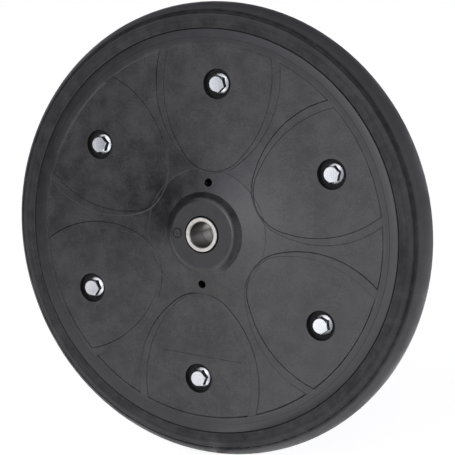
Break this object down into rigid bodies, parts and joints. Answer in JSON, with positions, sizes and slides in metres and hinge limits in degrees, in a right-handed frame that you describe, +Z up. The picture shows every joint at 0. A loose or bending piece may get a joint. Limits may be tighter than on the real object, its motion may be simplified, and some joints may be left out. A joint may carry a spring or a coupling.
{
  "type": "planter press wheel",
  "caption": "Narrow press wheel for a planter: rubber tyre clamped between two bolted moulded rim halves, turning on a sealed ball bearing with spacer bushes.",
  "frame": {"origin": "centre of the axle bore in the wheel's middle plane", "axes": "+Y along the axle away from the face with the bolt heads, +Z up, +X to the right of that face"},
  "size_m": [0.305, 0.0472, 0.3048],
  "materials": {
    "rim_plastic": "satin moulded",
    "tyre_rubber": "matte moulded",
    "zinc_fastener": "bright zinc plate",
    "bearing_steel": "ground",
    "cage_steel": "pressed sheet",
    "seal_rubber": "matte",
    "bush_steel": "turned"
  },
  "bodies": {
    "axle": {"bearing_inner_ring": "bearing_steel", "front_spacer_bush": "bush_steel", "rear_spacer_bush": "bush_steel"},
    "wheel": {"front_rim_half": "rim_plastic", "rear_rim_half": "rim_plastic", "tyre": "tyre_rubber", "rim_bolt_1": "zinc_fastener", "rim_bolt_2": "zinc_fastener", "rim_bolt_3": "zinc_fastener", "rim_bolt_4": "zinc_fastener", "rim_bolt_5": "zinc_fastener", "rim_bolt_6": "zinc_fastener", "flange_nut_1": "zinc_fastener", "flange_nut_2": "zinc_fastener", "flange_nut_3": "zinc_fastener", "flange_nut_4": "zinc_fastener", "flange_nut_5": "zinc_fastener", "flange_nut_6": "zinc_fastener", "bearing_outer_ring": "bearing_steel", "front_bearing_seal": "seal_rubber", "rear_bearing_seal": "seal_rubber"},
    "ball_set": {"bearing_balls": "bearing_steel", "front_cage_half": "cage_steel", "rear_cage_half": "cage_steel", "cage_rivets": "cage_steel"}
  },
  "joints": [
    {"name": "wheel_spin", "type": "hinge", "parent": "axle", "child": "wheel", "pos_m": [0, 0, 0], "axis": [0, 1, 0], "continuous": true},
    {"name": "ball_set_spin", "type": "hinge", "parent": "axle", "child": "ball_set", "pos_m": [0, 0, 0], "axis": [0, 1, 0], "continuous": true}
  ],
  "couplings": [
    {"joint": "ball_set_spin", "follows": "wheel_spin", "ratio": 0.6184}
  ]
}
